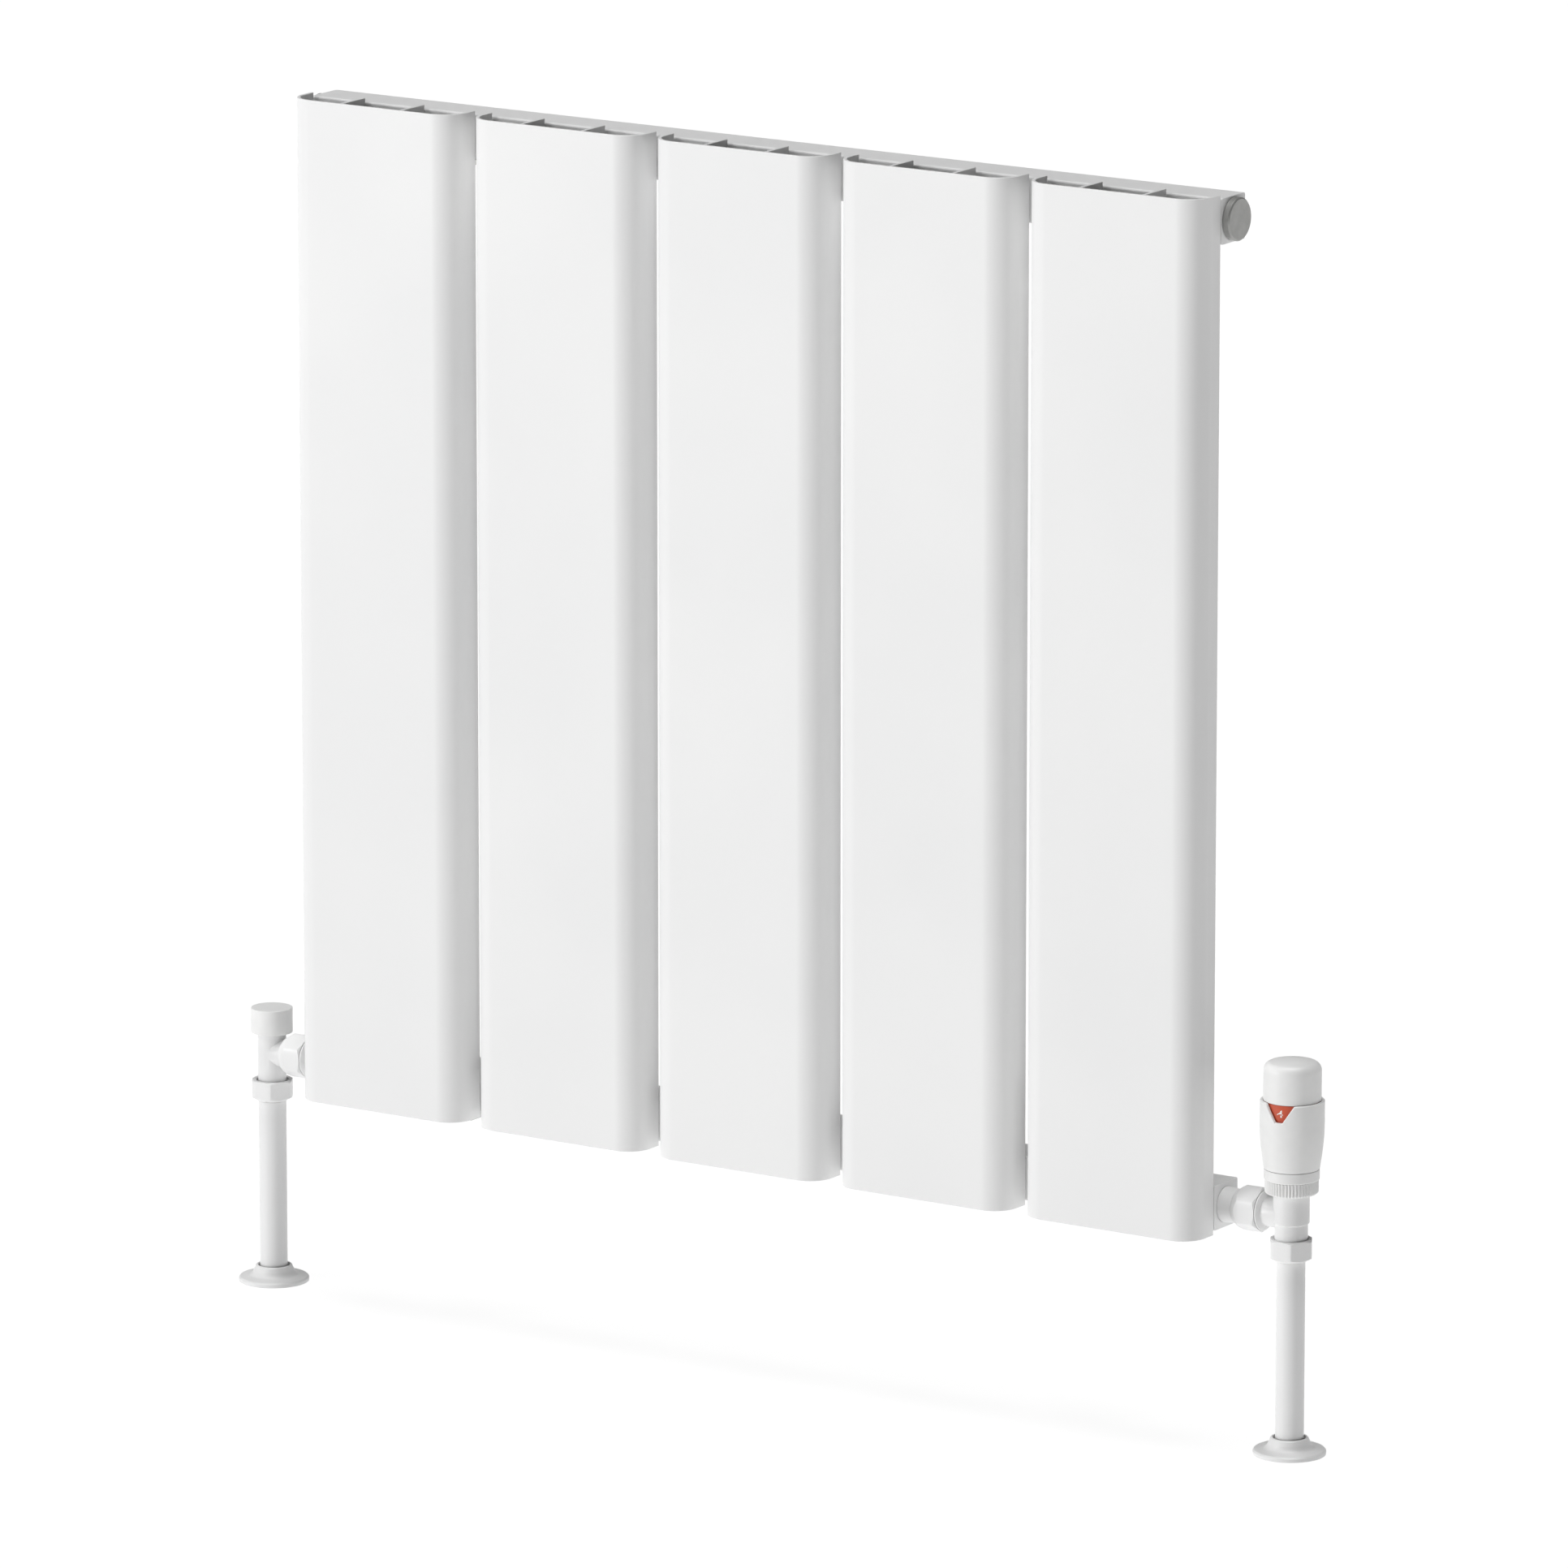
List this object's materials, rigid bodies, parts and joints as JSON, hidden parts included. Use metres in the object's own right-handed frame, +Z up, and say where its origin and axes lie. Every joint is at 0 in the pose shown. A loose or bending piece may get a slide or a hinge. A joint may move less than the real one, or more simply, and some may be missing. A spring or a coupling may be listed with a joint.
{
  "type": "radiator with valve",
  "caption": "Flat-panel wall radiator with upright panels on header tubes, a thermostatic valve, a lockshield valve, floor pipes with rosettes and hidden wall brackets.",
  "frame": {"origin": "on the wall plane, straight below the middle of the radiator, at the height of the finished floor", "axes": "+X to the radiator's right as seen from the room (the thermostatic valve's side), +Y into the wall, so the panels face -Y, +Z up"},
  "size_m": [0.7486, 0.077, 0.725],
  "materials": {
    "aluminium_coat": "aluminium extrusion with a satin white powder coat",
    "fitting_coat": "satin white coat over brass or steel",
    "satin_nickel": "satin nickel plate over turned brass",
    "white_plastic": "fine satin white moulding",
    "red_plastic": "satin red-orange moulding",
    "grey_nylon": "matt grey nylon",
    "steel": "zinc-plated steel",
    "brass": "machined brass",
    "copper": null,
    "rubber": "matt black rubber"
  },
  "bodies": {
    "radiator": {"panel_1": "aluminium_coat", "panel_2": "aluminium_coat", "panel_3": "aluminium_coat", "panel_4": "aluminium_coat", "panel_5": "aluminium_coat", "top_header": "aluminium_coat", "bottom_header": "aluminium_coat", "blanking_plug": "satin_nickel", "vent_plug": "satin_nickel", "trv_tail": "fitting_coat", "trv_union_nut": "fitting_coat", "trv_valve_body": "fitting_coat", "trv_compression_nut": "fitting_coat", "lockshield_tail": "fitting_coat", "lockshield_union_nut": "fitting_coat", "lockshield_valve_body": "fitting_coat", "lockshield_compression_nut": "fitting_coat", "trv_knurled_nut": "white_plastic", "trv_head_base": "white_plastic", "trv_outer_sleeve": "white_plastic", "trv_pipe_sleeve": "white_plastic", "lockshield_pipe_sleeve": "white_plastic", "upper_bracket_left_liner": "grey_nylon", "upper_bracket_right_liner": "grey_nylon", "lower_bracket_left_liner": "grey_nylon", "lower_bracket_right_liner": "grey_nylon", "upper_bracket_left": "steel", "upper_bracket_right": "steel", "lower_bracket_left": "steel", "lower_bracket_right": "steel", "trv_return_spring": "steel", "trv_insert": "brass", "trv_gland_nut": "brass", "trv_olive": "brass", "lockshield_gland": "brass", "lockshield_olive": "brass", "trv_pipe": "copper", "lockshield_pipe": "copper", "blanking_plug_seal": "rubber", "vent_plug_seal": "rubber", "lockshield_gland_seal": "rubber"},
    "handwheel": {"trv_handwheel": "white_plastic", "trv_number_drum": "red_plastic"},
    "sensor": {"trv_sensor": "brass"},
    "trv_stem": {"trv_spindle": "steel", "trv_disc": "rubber"},
    "lockshield_cap": {"lockshield_cap": "white_plastic"},
    "lockshield_spindle": {"lockshield_spindle": "steel"},
    "lockshield_plug": {"lockshield_plug": "brass"},
    "bleed_screw": {"bleed_screw": "brass"},
    "trv_rosette": {"trv_rosette": "fitting_coat"},
    "lockshield_rosette": {"lockshield_rosette": "fitting_coat"}
  },
  "joints": [
    {"name": "handwheel_turn", "type": "hinge", "parent": "radiator", "child": "handwheel", "pos_m": [0.3533, -0.03905, 0.219], "axis": [0, 0, 1], "range_deg": [-220, 55]},
    {"name": "sensor_slide", "type": "slide", "parent": "radiator", "child": "sensor", "axis": [0, 0, 1], "range_m": [-0.0023, 0.00057]},
    {"name": "trv_stem_slide", "type": "slide", "parent": "radiator", "child": "trv_stem", "axis": [0, 0, 1], "range_m": [-0.0024, 0.0006], "deforming": ["trv_return_spring"]},
    {"name": "lockshield_cap_pull", "type": "slide", "parent": "radiator", "child": "lockshield_cap", "axis": [0, 0, 1], "range_m": [0, 0.04]},
    {"name": "lockshield_spindle_turn", "type": "hinge", "parent": "radiator", "child": "lockshield_spindle", "pos_m": [-0.3533, -0.03905, 0.15], "axis": [0, 0, 1], "range_deg": [-600, 600]},
    {"name": "lockshield_plug_slide", "type": "slide", "parent": "radiator", "child": "lockshield_plug", "axis": [0, 0, 1], "range_m": [-0.00166, 0.00166]},
    {"name": "bleed_screw_turn", "type": "hinge", "parent": "radiator", "child": "bleed_screw", "pos_m": [-0.31, -0.03905, 0.70955], "axis": [-1, 0, 0], "range_deg": [0, 360]},
    {"name": "trv_rosette_lift", "type": "slide", "parent": "radiator", "child": "trv_rosette", "axis": [0, 0, 1], "range_m": [0, 0.1]},
    {"name": "lockshield_rosette_lift", "type": "slide", "parent": "radiator", "child": "lockshield_rosette", "axis": [0, 0, 1], "range_m": [0, 0.1]}
  ],
  "couplings": [
    {"joint": "handwheel_turn", "follows": "sensor_slide", "rad_per_m": 1666.7},
    {"joint": "trv_stem_slide", "follows": "sensor_slide", "ratio": 1},
    {"joint": "lockshield_spindle_turn", "follows": "lockshield_plug_slide", "rad_per_m": 6283.2}
  ]
}
